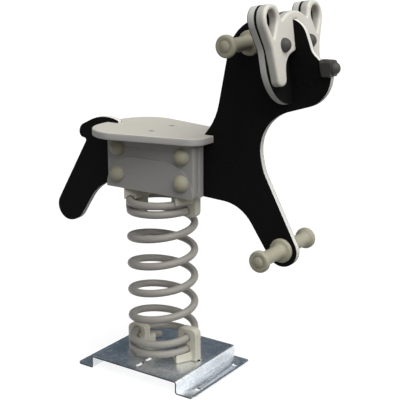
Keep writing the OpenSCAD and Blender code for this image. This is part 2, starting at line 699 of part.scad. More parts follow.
// Nose: a block over the snout's end, drawn on a frame whose Z points out of the snout
module at_nose() translate([nose_at[0], 0, nose_at[1]]) rotate([0, 90, 0]) children();
module rod_in(d, depth) translate([0, 0, -depth]) cylinder(d = d, h = depth);
module nose_block() color(dark_grey) on_rider() difference() {
    intersection() {
        translate([nose_at[0], 0, nose_at[1]]) along_y(nose_w) polygon([
            [nose_wall - nose_l + nose_rake, -nose_h / 2], [nose_wall, -nose_h / 2],
            [nose_wall, nose_h / 2], [nose_wall - nose_l, nose_h / 2]
        ]);
        at_nose() translate([0, 0, -nose_l]) rotate([0, 0, 90]) linear_extrude(2 * nose_l)
            polygon(rounded([
                [-nose_w / 2, -nose_h / 2, 0], [nose_w / 2, -nose_h / 2, 0],
                [nose_w / 2, nose_h / 2, nose_round], [-nose_w / 2, nose_h / 2, nose_round]
            ]));
    }
    translate([nose_at[0] - nose_l, -panel_t / 2 - slot_gap, nose_at[1] - nose_h])
        cube([nose_l + slot_gap, panel_t + 2 * slot_gap, 1.5 * nose_h - nose_wall]);
    at_nose() cylinder(d = screw_d + hole_gap, h = 3 * nose_wall, center = true);
}
module nose_ball() color(dark_grey) on_rider() at_nose() translate([0, 0, nose_wall]) difference() {
    rotate_extrude() polygon(dome(nose_d, nose_d / 2, nose_rim));
    translate([0, 0, -1]) cylinder(d = screw_d + hole_gap, h = nose_screw_depth + 2);
}
module nose_screw() color(steel) on_rider() at_nose() translate([0, 0, nose_wall + nose_screw_depth])
    rod_in(screw_d, nose_wall + nose_screw_depth + nose_screw_reach);

base_plate();
lower_front_clamp();
lower_rear_clamp();
lower_clamp_bolts();
lower_clamp_washers();
spring();
upper_front_clamp();
upper_rear_clamp();
upper_clamp_bolts();
mount_plate();
mount_plate_screws();
body_panel();
right_inner_plate();
left_inner_plate();
right_outer_plate();
left_outer_plate();
right_flap();
left_flap();
box_studs();
box_nuts();
right_stud_caps();
left_stud_caps();
seat();
seat_screws();
right_handle();
left_handle();
right_foot_peg();
left_foot_peg();
grip_rods();
grip_nuts();
grip_plugs();
face_back_plate();
face_mask();
eyes();
eye_bolts();
nose_block();
nose_ball();
nose_screw();
head_brackets();
head_bracket_bolts();
head_bracket_nuts();
head_bracket_screws();
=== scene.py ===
"""Looks of a playground spring rider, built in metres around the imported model.

Each sub-assembly is a class with its sizes as fields, each finish is a frozen dataclass,
and main builds them in order.
"""

import logging
import math
from dataclasses import dataclass, replace
from enum import Enum
from typing import Iterable, Mapping, Sequence

import bmesh
import bpy
from bmesh.types import BMEdge, BMesh, BMFace, BMVert
from bpy.types import Material, Node, NodeOutputs, NodeSocket, NodeTree, Object
from mathutils import Color, Matrix, Vector


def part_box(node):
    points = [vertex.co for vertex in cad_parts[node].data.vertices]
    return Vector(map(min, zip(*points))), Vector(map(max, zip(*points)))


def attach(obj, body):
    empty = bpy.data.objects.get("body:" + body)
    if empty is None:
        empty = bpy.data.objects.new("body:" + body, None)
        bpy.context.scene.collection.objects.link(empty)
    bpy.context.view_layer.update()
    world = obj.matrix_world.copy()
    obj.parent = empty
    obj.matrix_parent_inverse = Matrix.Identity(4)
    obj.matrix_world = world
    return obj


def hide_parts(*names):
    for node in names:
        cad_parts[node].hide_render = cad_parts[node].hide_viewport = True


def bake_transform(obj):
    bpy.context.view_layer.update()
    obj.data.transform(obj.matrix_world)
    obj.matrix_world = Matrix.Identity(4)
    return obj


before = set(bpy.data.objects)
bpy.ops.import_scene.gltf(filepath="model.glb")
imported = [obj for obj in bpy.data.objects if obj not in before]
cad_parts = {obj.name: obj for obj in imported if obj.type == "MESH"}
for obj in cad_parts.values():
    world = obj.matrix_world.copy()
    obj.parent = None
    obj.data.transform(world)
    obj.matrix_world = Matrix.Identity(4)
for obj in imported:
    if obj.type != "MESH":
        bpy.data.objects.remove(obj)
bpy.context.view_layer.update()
LOG = logging.getLogger("spring_rider")

X_AXIS = Vector((1, 0, 0))
Y_AXIS = Vector((0, 1, 0))
Z_AXIS = Vector((0, 0, 1))

# Limits: lengths and directions that count as one, and angles of flat, sharp and square edges
MERGE = 1e-5
FLAT = 2e-5
PARALLEL = 0.999
COPLANAR = math.radians(0.5)
SHARP = math.radians(38)
SQUARE = math.radians(60)

# Fineness of rounded forms, and settings of their operators
SOFT_STEPS = 2
CORNER_STEPS = 4
PROFILE_STEPS = 6
ROUND_STEPS = 64
RIM_LAP = 0.05
BEVEL = {"offset_type": "OFFSET", "profile": 0.5, "material": -1}
EVEN_INSET = {"use_even_offset": True, "use_boundary": True}
SMOOTHING = {"factor": 0.5, "use_axis_x": True, "use_axis_y": True, "use_axis_z": True}

Triple = tuple[float, float, float]
Colour = Triple
Range = tuple[float, float]
Sockets = dict[str, NodeSocket]
Value = NodeSocket | float | Triple
Inputs = Mapping[int | str, Value]


class Body(Enum):
    """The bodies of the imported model."""

    BASE = "base"
    COIL = "coil"
    RIDER = "rider"


class Slot(Enum):
    """The material slots that the finishes name."""

    GALVANISED = "galvanised"
    CLAMP = "clamp_cream"
    STEEL = "steel"
    SPRING = "spring_grey"
    BLACK = "sheet_black"
    LIGHT = "sheet_light"
    GREY = "sheet_grey"
    MASK = "mask_white"
    KHAKI = "khaki"
    DARK = "dark_grey"


class Side(Enum):
    """The two sides of the animal, by the sign of Y."""

    RIGHT = -1
    LEFT = 1

    @property
    def label(self) -> str:
        """The side's name as the nodes spell it."""
        return self.name.lower()


def tone(red: int, green: int, blue: int) -> Colour:
    """The linear colour that renders as a colour on screen, given from 0 to 255."""
    return tuple(Color((red / 255, green / 255, blue / 255)).from_srgb_to_scene_linear())


class Graph:
    """A short way to add and join the nodes of one shader tree."""

    def __init__(self, tree: NodeTree) -> None:
        """Empty the tree that the nodes go into."""
        tree.nodes.clear()
        self.tree = tree

    def add(self, kind: str, inputs: Inputs | None = None, **settings: object) -> Node:
        """Add a node.

        Args:
            kind: Its type name, after ShaderNode.
            inputs: Sockets or plain values for its inputs, by name or number.
            settings: Properties to set on it first.

        Returns:
            The new node.
        """
        node = self.tree.nodes.new(f"ShaderNode{kind}")
        for name, value in settings.items():
            setattr(node, name, value)
        for key, value in (inputs or {}).items():
            target = node.inputs[key]
            if isinstance(value, NodeSocket):
                self.tree.links.new(value, target)
            elif isinstance(value, tuple) and len(target.default_value) == 4:
                target.default_value = (*value, 1.0)
            else:
                target.default_value = value
        return node

    def math(self, operation: str, *values: Value, clamp: bool = False) -> NodeSocket:
        """The result of an operation on values, kept between 0 and 1 if clamp is set."""
        inputs = dict(enumerate(values))
        return self.add("Math", inputs, operation=operation, use_clamp=clamp).outputs[0]

    def weighted(self, first: Value, second: Value, share: float) -> NodeSocket:
        """The sum of two values, the second by its share and the first by the rest."""
        rest = self.math("MULTIPLY", first, 1 - share)
        return self.math("ADD", rest, self.math("MULTIPLY", second, share))

    def mix(self, factor: Value, first: Value, second: Value) -> NodeSocket:
        """The mix of two colours: the first where the factor is 0, the second where it is 1."""
        # Inputs 6 and 7 and output 2 are the colours
        return self.add("Mix", {0: factor, 6: first, 7: second}, data_type="RGBA").outputs[2]

    def ramp(self, value: Value, low: float, high: float, start: float = 0, stop: float = 1) -> NodeSocket:
        """The value mapped smoothly, so that low gives start and high gives stop."""
        inputs = {"Value": value, "From Min": low, "From Max": high, "To Min": start, "To Max": stop}
        return self.add("MapRange", inputs, interpolation_type="SMOOTHSTEP").outputs["Result"]

    def place(self) -> NodeSocket:
        """The point on the piece, in its own frame."""
        return self.add("TexCoord").outputs["Object"]

    def facing(self, axis: str) -> NodeSocket:
        """How far the surface looks along the axis with that letter."""
        normal = self.add("NewGeometry").outputs["Normal"]
        return self.add("SeparateXYZ", {0: normal}).outputs[axis]

    def noise(self, scale: Value, detail: float = 2.0, stretch: Triple = (1, 1, 1)) -> NodeSocket:
        """Add a noise over the piece.

        Args:
            scale: Waves to the metre.
            detail: Finer octaves on top.
            stretch: Scale of the noise along each axis.

        Returns:
            The noise, about 0.5 in the middle.
        """
        mapping = self.add("Mapping", {"Vector": self.place(), "Scale": stretch})
        inputs = {"Vector": mapping.outputs["Vector"], "Scale": scale, "Detail": detail}
        return self.add("TexNoise", inputs).outputs[0]

    def group(self, group: "Effect", **values: Value) -> Sockets:
        """The outputs of a node group by name, with its inputs set to values."""
        node = self.add("Group", values, node_tree=group.tree())
        return {output.name: output for output in node.outputs}

    def bump(self, height: Value, distance: float) -> NodeSocket:
        """The normal of a surface with a height over it, where 1 stands for a distance in metres."""
        return self.add("Bump", {"Height": height, "Distance": distance}).outputs["Normal"]


class Effect:
    """A shader node group that several finishes share, built once."""

    name: str = ""
    inputs: tuple[str, ...] = ()
    outputs: tuple[str, ...] = ()

    def tree(self) -> NodeTree:
        """Find the group, or build it.

        Returns:
            The group's node tree.
        """
        found = bpy.data.node_groups.get(self.name)
        if found:
            return found
        tree = bpy.data.node_groups.new(self.name, "ShaderNodeTree")
        for way, names in (("INPUT", self.inputs), ("OUTPUT", self.outputs)):
            for name in names:
                kind = "NodeSocketColor" if name == "Colour" else "NodeSocketFloat"
                tree.interface.new_socket(name=name, in_out=way, socket_type=kind)
        graph = Graph(tree)
        made = self.wire(graph, tree.nodes.new("NodeGroupInput").outputs)
        end = tree.nodes.new("NodeGroupOutput")
        for name, socket in made.items():
            tree.links.new(socket, end.inputs[name])
        return tree

    def wire(self, graph: Graph, given: NodeOutputs) -> Sockets:
        """Add the group's nodes.

        Args:
            graph: The group's graph.
            given: The group's inputs.

        Returns:
            The sockets that the group puts out, by name.
        """
        raise NotImplementedError


class GrainGroup(Effect):
    """Fine grain of moulded plastic or paint: a shaded colour and a height."""

    name = "surface_grain"
    inputs = ("Colour", "Scale", "Contrast")
    outputs = ("Colour", "Height")
    middle = 0.5
    fine_detail = 1.5
    cloud_scale = 9.0
    cloud_detail = 3.0
    cloud_share = 0.35

    def wire(self, graph: Graph, given: NodeOutputs) -> Sockets:
        """Shade the colour by a fine and a broad noise; see Effect.wire."""
        fine = graph.noise(given["Scale"], detail=self.fine_detail)
        cloud = graph.noise(self.cloud_scale, detail=self.cloud_detail)
        swing = graph.math("SUBTRACT", fine, self.middle)
        drift = graph.math("MULTIPLY", graph.math("SUBTRACT", cloud, self.middle), self.cloud_share)
        change = graph.math("MULTIPLY", graph.math("ADD", swing, drift), given["Contrast"])
        inputs = {"Color": given["Colour"], "Value": graph.math("ADD", change, 1.0)}
        shade = graph.add("HueSaturation", inputs)
        return {"Colour": shade.outputs["Color"], "Height": fine}


class ScuffGroup(Effect):
    """Short rubbed marks where hands, feet and clothes touch."""

    name = "handling_scuffs"
    inputs = ("Scale", "Amount")
    outputs = ("Mask",)
    streak_detail = 4.0
    streak_stretch = (1.0, 2.0, 5.0)
    streak_range: Range = (0.60, 0.72)
    patch_scale = 6.0
    patch_range: Range = (0.48, 0.66)

    def wire(self, graph: Graph, given: NodeOutputs) -> Sockets:
        """Cut thin streaks out of a stretched noise; see Effect.wire."""
        streak = graph.noise(given["Scale"], detail=self.streak_detail, stretch=self.streak_stretch)
        patch = graph.noise(self.patch_scale)
        thin = graph.ramp(streak, *self.streak_range)
        marks = graph.math("MULTIPLY", thin, graph.ramp(patch, *self.patch_range))
        return {"Mask": graph.math("MULTIPLY", marks, given["Amount"])}


class DustGroup(Effect):
    """Pale dust that settles on what looks up."""

    name = "settled_dust"
    inputs = ("Amount",)
    outputs = ("Mask",)
    upward_range: Range = (0.2, 0.95)
    speck_scale = 70.0
    speck_detail = 4.0
    speck_range: Range = (0.35, 0.75)

    def wire(self, graph: Graph, given: NodeOutputs) -> Sockets:
        """Keep the parts that look up and break them with noise; see Effect.wire."""
        upward = graph.ramp(graph.facing("Z"), *self.upward_range)
        speck = graph.ramp(graph.noise(self.speck_scale, detail=self.speck_detail), *self.speck_range)
        return {"Mask": graph.math("MULTIPLY", graph.math("MULTIPLY", upward, speck), given["Amount"])}


class SpangleGroup(Effect):
    """Crystals of a zinc coat: a light and dark patchwork with soft borders."""

    name = "zinc_spangle"
    inputs = ("Scale",)
    outputs = ("Shade", "Height")
    bend_scale = 60.0
    bend_reach = 0.006
    sizes = (1.0, 2.6)
    fine_share = 0.4

    def wire(self, graph: Graph, given: NodeOutputs) -> Sockets:
        """Mix two sizes of cells, bent by a noise; see Effect.wire."""
        place = graph.place()
        bend = graph.add("TexNoise", {"Vector": place, "Scale": self.bend_scale})
        shift = {0: bend.outputs["Color"], 1: (self.bend_reach,) * 3, 2: place}
        bent = graph.add("VectorMath", shift, operation="MULTIPLY_ADD").outputs[0]
        shades = []
        for size in self.sizes:
            inputs = {"Vector": bent, "Scale": graph.math("MULTIPLY", given["Scale"], size)}
            cells = graph.add("TexVoronoi", inputs)
            shades.append(graph.add("RGBToBW", {0: cells.outputs["Color"]}).outputs[0])
        coarse, fine = shades
        return {"Shade": graph.weighted(coarse, fine, self.fine_share), "Height": fine}


@dataclass(frozen=True)
class Finish:
    """A surface finish, made once as a material, and a slot name for it."""

    name: str
    slot: Slot

    def material(self) -> Material:
        """Find the material, or build it.

        Returns:
            The material.
        """
        found = bpy.data.materials.get(self.name)
        if found:
            return found
        made = bpy.data.materials.new(self.name)
        made.use_nodes = True
        graph = Graph(made.node_tree)
        shader = graph.add("BsdfPrincipled", self.wire(graph))
        graph.add("OutputMaterial", {"Surface": shader.outputs["BSDF"]})
        return made

    def wire(self, graph: Graph) -> dict[str, Value]:
        """Add the finish's nodes.

        Args:
            graph: The material's graph.

        Returns:
            What the Principled shader's inputs get, by name.
        """
        raise NotImplementedError


@dataclass(frozen=True)
class Grained(Finish):
    """Plastic, paint or plated steel with a fine grain, a few scuffs and a little dust."""

    colour: Colour
    metal: float = 0.0
    contrast: float = 0.10
    grain: float = 420.0
    grain_range: Range = (0.3, 0.7)
    depth: float = 0.00012
    roughness: float = 0.55
    roughness_swing: float = 0.06
    specular: float = 0.3
    scuffs: float = 0.25
    scuff_scale: float = 45.0
    scuff_colour: Colour = tone(205, 202, 194)
    dust: float = 0.10
    dust_roughness: float = 0.3
    dust_colour: Colour = tone(190, 184, 170)

    def base_colour(self, graph: Graph) -> tuple[NodeSocket, NodeSocket]:
        """The plain colour with its grain, and the grain's height."""
        made = graph.group(GrainGroup(), Colour=self.colour, Scale=self.grain, Contrast=self.contrast)
        return made["Colour"], made["Height"]

    def wire(self, graph: Graph) -> dict[str, Value]:
        """Lay scuffs and dust over the grain; see Finish.wire."""
        colour, height = self.base_colour(graph)
        scuffs = graph.group(ScuffGroup(), Scale=self.scuff_scale, Amount=self.scuffs)["Mask"]
        dust = graph.group(DustGroup(), Amount=self.dust)["Mask"]
        colour = graph.mix(scuffs, colour, self.scuff_colour)
        low, high = self.roughness - self.roughness_swing, self.roughness + self.roughness_swing
        rough = graph.ramp(height, *self.grain_range, low, high)
        dulled = graph.math("MULTIPLY", dust, self.dust_roughness)
        return {
            "Base Color": graph.mix(dust, colour, self.dust_colour),
            "Roughness": graph.math("ADD", rough, dulled, clamp=True),
            "Metallic": self.metal,
            "Specular IOR Level": self.specular,
            "Normal": graph.bump(height, self.depth),
        }


@dataclass(frozen=True)
class LayeredSheet(Grained):
    """Plastic sheet with a skin on both sides of a core, told apart across its thickness."""

    core: Colour = tone(226, 224, 218)
    core_contrast: float = 0.08
    across: Triple = (0.0, 1.0, 0.0)
    middle: float = 0.0
    half_core: float = 0.0075
    border: float = 0.0002

    def base_colour(self, graph: Graph) -> tuple[NodeSocket, NodeSocket]:
        """Skin outside, core inside; see Grained.base_colour."""
        skin, height = super().base_colour(graph)
        core = graph.group(GrainGroup(), Colour=self.core, Scale=self.grain, Contrast=self.core_contrast)
        inputs = {0: graph.place(), 1: self.across}
        along = graph.add("VectorMath", inputs, operation="DOT_PRODUCT").outputs["Value"]
        depth = graph.math("ABSOLUTE", graph.math("SUBTRACT", along, self.middle))
        is_skin = graph.ramp(depth, self.half_core - self.border, self.half_core + self.border)
        return graph.mix(is_skin, core["Colour"], skin), height


@dataclass(frozen=True)
class ZincSheet(Finish):
    """Galvanised sheet steel: bright crystals on a blue grey coat, and dark edges where it faces along Y,
    partly bare cut steel and partly painted shade.
    """

    dark: Colour = (0.66, 0.70, 0.74)
    light: Colour = (0.94, 0.97, 0.99)
    colour_range: Range = (0.25, 0.75)
    spangle: float = 300.0
    cloud: float = 14.0
    cloud_detail: float = 4.0
    cloud_share: float = 0.3
    # Dark colour of edges facing along Y: bare cut steel and painted shade
    cut: Colour = (0.10, 0.115, 0.13)
    cut_range: Range = (0.6, 0.9)
    cut_roughness: float = 0.4
    roughness: Range = (0.30, 0.36)
    roughness_range: Range = (0.2, 0.8)
    metal: Range = (0.98, 0.76)
    metal_range: Range = (0.40, 0.80)
    depth: float = 0.000014

    def wire(self, graph: Graph) -> dict[str, Value]:
        """Colour and gloss follow the crystals, and edges facing along Y are painted dark, partly as bare
        cut steel and partly as painted shade; see Finish.wire.
        """
        made = graph.group(SpangleGroup(), Scale=self.spangle)
        cloud = graph.noise(self.cloud, detail=self.cloud_detail)
        shade = graph.weighted(made["Shade"], cloud, self.cloud_share)
        colour = graph.mix(graph.ramp(shade, *self.colour_range), self.dark, self.light)
        # Faces looking along Y get the dark colour: bare cut steel and painted shade
        cut = graph.ramp(graph.math("ABSOLUTE", graph.facing("Y")), *self.cut_range)
        rough = graph.ramp(made["Shade"], *self.roughness_range, *self.roughness)
        return {
            "Base Color": graph.mix(cut, colour, self.cut),
            "Roughness": graph.math("ADD", rough, graph.math("MULTIPLY", cut, self.cut_roughness)),
            "Metallic": graph.ramp(shade, *self.metal_range, *self.metal),
            "Normal": graph.bump(made["Height"], self.depth),
        }


FACE_LEAN = math.radians(8)
FACE_NORMAL = Vector((math.cos(FACE_LEAN), 0, math.sin(FACE_LEAN)))


def reach(node: str, axis: Vector) -> Range:
    """Where a node begins and ends along an axis through the origin."""
    along = [vertex.co.dot(axis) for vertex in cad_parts[node].data.vertices]
    return min(along), max(along)


# Finishes; the cores of the two face plates lie a little behind the plates' middles. On the black plate
# the thicker front skin is a painted shadow line behind the mask, and on the mask the sides darken towards
# the back as painted shade
FACE_CORE_BACK = 0.0012
MASK_CORE_BACK = 0.0035
BLACK_SHEET = LayeredSheet(
    "black_sheet", Slot.BLACK, tone(17, 17, 17), contrast=2.2, grain=250.0, depth=0.0002, roughness=0.7,
    specular=0.06, scuffs=0.0, dust=0.012, half_core=0.0055,
)
# Face plate: black skins on a light core, the core darkened as painted shade inside the ear holes and
# along the rims
FACE_SHEET = replace(
    BLACK_SHEET, name="black_face_sheet", core=tone(210, 208, 202), across=tuple(FACE_NORMAL),
    half_core=0.0065, middle=sum(reach("face_back_plate", FACE_NORMAL)) / 2 - FACE_CORE_BACK,
)
# Mask: white skin over a grey core with a wide soft border, a painted shade that darkens the mask's sides
# towards the back
MASK_SHEET = LayeredSheet(
    "mask_sheet", Slot.MASK, tone(222, 218, 208), contrast=0.05, roughness=0.45, scuffs=0.1,
    core=tone(194, 192, 185), across=tuple(FACE_NORMAL), border=0.0025,
    middle=sum(reach("face_mask", FACE_NORMAL)) / 2 - MASK_CORE_BACK,
)
LIGHT_SHEET = LayeredSheet(
    "light_sheet", Slot.LIGHT, tone(209, 205, 194), core=tone(184, 183, 180), across=tuple(Z_AXIS),
    half_core=0.0064, border=0.0010, middle=sum(reach("seat", Z_AXIS)) / 2,
)
GREY_SHEET = Grained("grey_sheet", Slot.GREY, tone(162, 161, 158), scuffs=0.08)
KHAKI_PLASTIC = Grained(
    "khaki_plastic", Slot.KHAKI, tone(166, 162, 142), contrast=0.07, roughness=0.45, depth=0.00006
)
CLAMP_PLASTIC = Grained("clamp_plastic", Slot.CLAMP, tone(204, 200, 184), roughness=0.5)
DARK_PLASTIC = Grained(
    "dark_plastic", Slot.DARK, tone(71, 70, 67), contrast=0.12, roughness=0.5, depth=0.00006
)
BLOCK_PLASTIC = replace(DARK_PLASTIC, name="block_plastic", colour=tone(50, 49, 47))
SPRING_PAINT = Grained(
    "spring_paint", Slot.SPRING, tone(158, 154, 147), contrast=0.08, grain=700.0, roughness=0.42,
    specular=0.4, scuffs=0.12,
)
SCREW_PAINT = Grained("screw_paint", Slot.STEEL, tone(176, 173, 164), contrast=0.08, depth=0.00004)
STEEL = Grained(
    "plated_steel", Slot.STEEL, tone(168, 170, 170), metal=0.9, contrast=0.25, grain=900.0,
    grain_range=(0.2, 0.8), depth=0.00004, roughness=0.37, roughness_swing=0.09, specular=0.5,
    scuffs=0.0, dust=0.12, dust_roughness=0.0, dust_colour=tone(150, 145, 134),
)
ZINC = ZincSheet("zinc_sheet", Slot.GALVANISED)


def placed(name: str, data: bpy.types.ID) -> Object:
    """Make an object of some data and link it to the scene.

    Args:
        name: Name of the object.
        data: Its mesh, light or camera.

    Returns:
        The object, at the origin.
    """
    obj = bpy.data.objects.new(name, data)
    bpy.context.scene.collection.objects.link(obj)
    return obj


def merged_copy(node: str) -> BMesh:
    """Copy a node's mesh with its triangles joined and its flat faces whole.

    Args:
        node: The node to copy.

    Returns:
        The joined mesh.
    """
    bm = bmesh.new()
    bm.from_mesh(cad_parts[node].data)
    bmesh.ops.remove_doubles(bm, verts=bm.verts, dist=MERGE)
    bmesh.ops.dissolve_limit(bm, angle_limit=COPLANAR, verts=bm.verts, edges=bm.edges)
    return bm


def flat_side(bm: BMesh, normal: Vector) -> list[BMFace]:
    """Find the faces of a sheet's flat side.

    Args:
        bm: The sheet.
        normal: Direction that the side looks in.

    Returns:
        The side's faces.
    """
    top = max(vertex.co.dot(normal) for vertex in bm.verts)
    level = [face for face in bm.faces if abs(face.calc_center_median().dot(normal) - top) < FLAT]
    return [face for face in level if face.normal.dot(normal) > PARALLEL]


def filled_again(bm: BMesh, faces: list[BMFace], normal: Vector) -> list[BMFace]:
    """Take faces of a flat side away and fill its outline afresh.

    Args:
        bm: The sheet.
        faces: The flat side.
        normal: Direction that the side looks in.

    Returns:
        The new faces.
    """
    side = set(faces)
    edges = {edge for face in faces for edge in face.edges}
    rim = [edge for edge in edges if sum(face in side for face in edge.link_faces) == 1]
    bmesh.ops.delete(bm, geom=faces, context="FACES")
    made = bmesh.ops.triangle_fill(bm, edges=rim, use_beauty=True, normal=normal)["geom"]
    return [part for part in made if isinstance(part, BMFace)]


@dataclass(frozen=True)
class Rounding:
    """A rounding of a sheet: the direction it belongs to, its radius and its facets."""

    normal: Vector
    radius: float
    steps: int = CORNER_STEPS


Rims = tuple[Rounding, Rounding]


def both_rims(normal: Vector, radius: float, steps: int = CORNER_STEPS) -> Rims:
    """The same rounding for both sides of a sheet."""
    return Rounding(-normal, radius, steps), Rounding(normal, radius, steps)


def round_rim(bm: BMesh, rim: Rounding) -> None:
    """Round the rim of one side of a sheet, and of the holes in it.

    Args:
        bm: The sheet.
        rim: The rounding, with the direction that the side looks in.
    """
    faces = filled_again(bm, flat_side(bm, rim.normal), rim.normal)
    corners = list({vertex for face in faces for vertex in face.verts})
    bmesh.ops.translate(bm, verts=corners, vec=-rim.radius * rim.normal)
    angles = [math.pi / 2 * step / rim.steps for step in range(rim.steps + 1)]
    for start, stop in zip(angles, angles[1:]):
        inward = rim.radius * (math.cos(start) - math.cos(stop))
        upward = rim.radius * (math.sin(stop) - math.sin(start))
        bmesh.ops.inset_region(bm, faces=faces, thickness=inward, depth=upward, **EVEN_INSET)
    bmesh.ops.inset_region(bm, faces=faces, thickness=RIM_LAP * rim.radius, depth=0, **EVEN_INSET)
    filled_again(bm, faces, rim.normal)


def round_corners(bm: BMesh, corner: Rounding) -> None:
    """Round the corners of a sheet's outline.

    Args:
        bm: The sheet.
        corner: The rounding, with the direction across the sheet.
    """
    edges = [
        edge
        for edge in bm.edges
        if abs((edge.verts[1].co - edge.verts[0].co).normalized().dot(corner.normal)) > PARALLEL
        and edge.calc_face_angle(0) > SQUARE
    ]
    bmesh.ops.bevel(bm, geom=edges, offset=corner.radius, segments=corner.steps, affect="EDGES", **BEVEL)
    bmesh.ops.remove_doubles(bm, verts=bm.verts, dist=MERGE)


def rounded_sheet(node: str, *rims: Rounding, corner: Rounding | None = None) -> BMesh:
    """Copy a sheet's node and round it.

    Args:
        node: The node to copy.
        rims: Roundings of its sides, in order.
        corner: Rounding of its outline's corners.

    Returns:
        The rounded sheet.
    """
    sheet = merged_copy(node)
    if corner:
        round_corners(sheet, corner)
    for rim in rims:
        round_rim(sheet, rim)
    bmesh.ops.recalc_face_normals(sheet, faces=sheet.faces)
    return sheet


def softened_copy(node: str, width: float) -> BMesh:
    """Copy a node with every sharp edge bevelled.

    Args:
        node: The node to copy.
        width: Width of the bevel.

    Returns:
        The softened mesh.
    """
    bm = merged_copy(node)
    sharp = [edge for edge in bm.edges if len(edge.link_faces) == 2 and edge.calc_face_angle(0) > SHARP]
    bmesh.ops.bevel(bm, geom=sharp, offset=width, segments=SOFT_STEPS, affect="EDGES", clamp_overlap=True,
                    **BEVEL)
    return bm


def moulded_copy(node: str, voxel: float, passes: int) -> BMesh:
    """Copy a node as a soft moulded form, with its edges melted round.

    Args:
        node: The node to copy.
        voxel: Size of the new mesh's cells.
        passes: How often the form is smoothed.

    Returns:
        The soft mesh.
    """
    start = merged_copy(node)
    mesh = bpy.data.meshes.new("moulding")
    start.to_mesh(mesh)
    start.free()
    mould = placed("moulding", mesh)
    cells = mould.modifiers.new("cells", "REMESH")
    cells.mode = "VOXEL"
    cells.voxel_size = voxel
    bm = bmesh.new()
    bm.from_object(mould, bpy.context.evaluated_depsgraph_get())
    bpy.data.objects.remove(mould)
    bpy.data.meshes.remove(mesh)
    for _ in range(passes):
        bmesh.ops.smooth_vert(bm, verts=bm.verts, **SMOOTHING)
    return bm


def standing(base: Vector, axis: Vector) -> Matrix:
    """The matrix that puts what was made along +Z at a base, with its +Z along an axis."""
    return Matrix.Translation(base) @ Z_AXIS.rotation_difference(axis).to_matrix().to_4x4()


@dataclass(frozen=True)
class Corner:
    """A corner of a turned profile: radius from the axis, place along it, and rounding."""

    radius: float
    along: float
    rounding: float = 0.0


def turned(profile: Sequence[Corner], base: Vector, axis: Vector) -> BMesh:
    """Turn a closed profile into a solid.

    Args:
        profile: Its corners, all the way round.
        base: Where the profile's zero lies.
        axis: Direction of the turning axis.

    Returns:
        The turned mesh.
    """
    bm = bmesh.new()
    corners = [bm.verts.new((corner.radius, 0, corner.along)) for corner in profile]
    for start, stop in zip(corners, corners[1:] + corners[:1]):
        bm.edges.new((start, stop))
    for vertex, corner in zip(corners, profile):
        if corner.rounding:
            bmesh.ops.bevel(bm, geom=[vertex], offset=corner.rounding, segments=PROFILE_STEPS,
                            affect="VERTICES", **BEVEL)
    bmesh.ops.spin(bm, geom=bm.verts[:] + bm.edges[:], cent=(0, 0, 0), axis=Z_AXIS, dvec=(0, 0, 0),
                   angle=math.tau, steps=ROUND_STEPS, use_merge=True)
    bmesh.ops.remove_doubles(bm, verts=bm.verts, dist=MERGE)
    bmesh.ops.recalc_face_normals(bm, faces=bm.faces)
    bmesh.ops.transform(bm, matrix=standing(base, axis), verts=bm.verts)
    return bm


def extruded(bm: BMesh, edges: Sequence[BMEdge]) -> tuple[list[BMVert], list[BMEdge]]:
    """Extrude a loop of edges.

    Args:
        bm: The mesh.
        edges: The loop.

    Returns:
        The new loop's vertices and its edges.
    """
    made = bmesh.ops.extrude_edge_only(bm, edges=edges)["geom"]
    ring = [part for part in made if isinstance(part, BMVert)]
    loop = [part for part in made if isinstance(part, BMEdge) and part.is_boundary]
    return ring, loop


@dataclass(frozen=True)
class Dome:
    """A closed dome on a short straight rim: its diameter, its full height and the rim's height."""

    width: float
    height: float
    rim: float


def domed(dome: Dome, base: Vector, axis: Vector) -> BMesh:
    """Make a dome.

    Args:
        dome: Its sizes.
        base: Middle of its flat side.
        axis: Direction that it bulges in.

    Returns:
        The dome's mesh.
    """
    rise = dome.height - dome.rim
    ball = ((dome.width / 2) ** 2 + rise**2) / (2 * rise)
    bm = bmesh.new()
    bmesh.ops.create_uvsphere(bm, u_segments=ROUND_STEPS, v_segments=ROUND_STEPS, radius=ball)
    bmesh.ops.translate(bm, verts=bm.verts, vec=(0, 0, dome.height - ball))
    whole = bm.verts[:] + bm.edges[:] + bm.faces[:]
    bmesh.ops.bisect_plane(bm, geom=whole, plane_co=(0, 0, dome.rim), plane_no=Z_AXIS, clear_inner=True)
    low, loop = extruded(bm, [edge for edge in bm.edges if edge.is_boundary])
    bmesh.ops.translate(bm, verts=low, vec=(0, 0, -dome.rim))
    bmesh.ops.edgeloop_fill(bm, edges=loop)
    bmesh.ops.recalc_face_normals(bm, faces=bm.faces)
    bmesh.ops.transform(bm, matrix=standing(base, axis), verts=bm.verts)
    return bm


def joined(parts: Iterable[BMesh]) -> BMesh:
    """Put several meshes into one.

    Args:
        parts: The meshes, which are freed.

    Returns:
        The joint mesh.
    """
    whole = bmesh.new()
    for part in parts:
        mesh = bpy.data.meshes.new("part")
        part.to_mesh(mesh)
        part.free()
        whole.from_mesh(mesh)
        bpy.data.meshes.remove(mesh)
    return whole


def as_object(name: str, bm: BMesh, finish: Finish) -> Object:
    """Turn a mesh into a finished object at the origin.

    Args:
        name: Name of the piece.
        bm: Its mesh, which is freed.
        finish: Its finish.

    Returns:
        The object.
    """
    for face in bm.faces:
        face.smooth = True
    for edge in bm.edges:
        edge.smooth = edge.calc_face_angle(0) < SHARP
    mesh = bpy.data.meshes.new(name)
    bm.to_mesh(mesh)
    bm.free()
    mesh.materials.append(finish.material())
    obj = placed(name, mesh)
    LOG.info("%s: %d faces", name, len(mesh.polygons))
    return obj


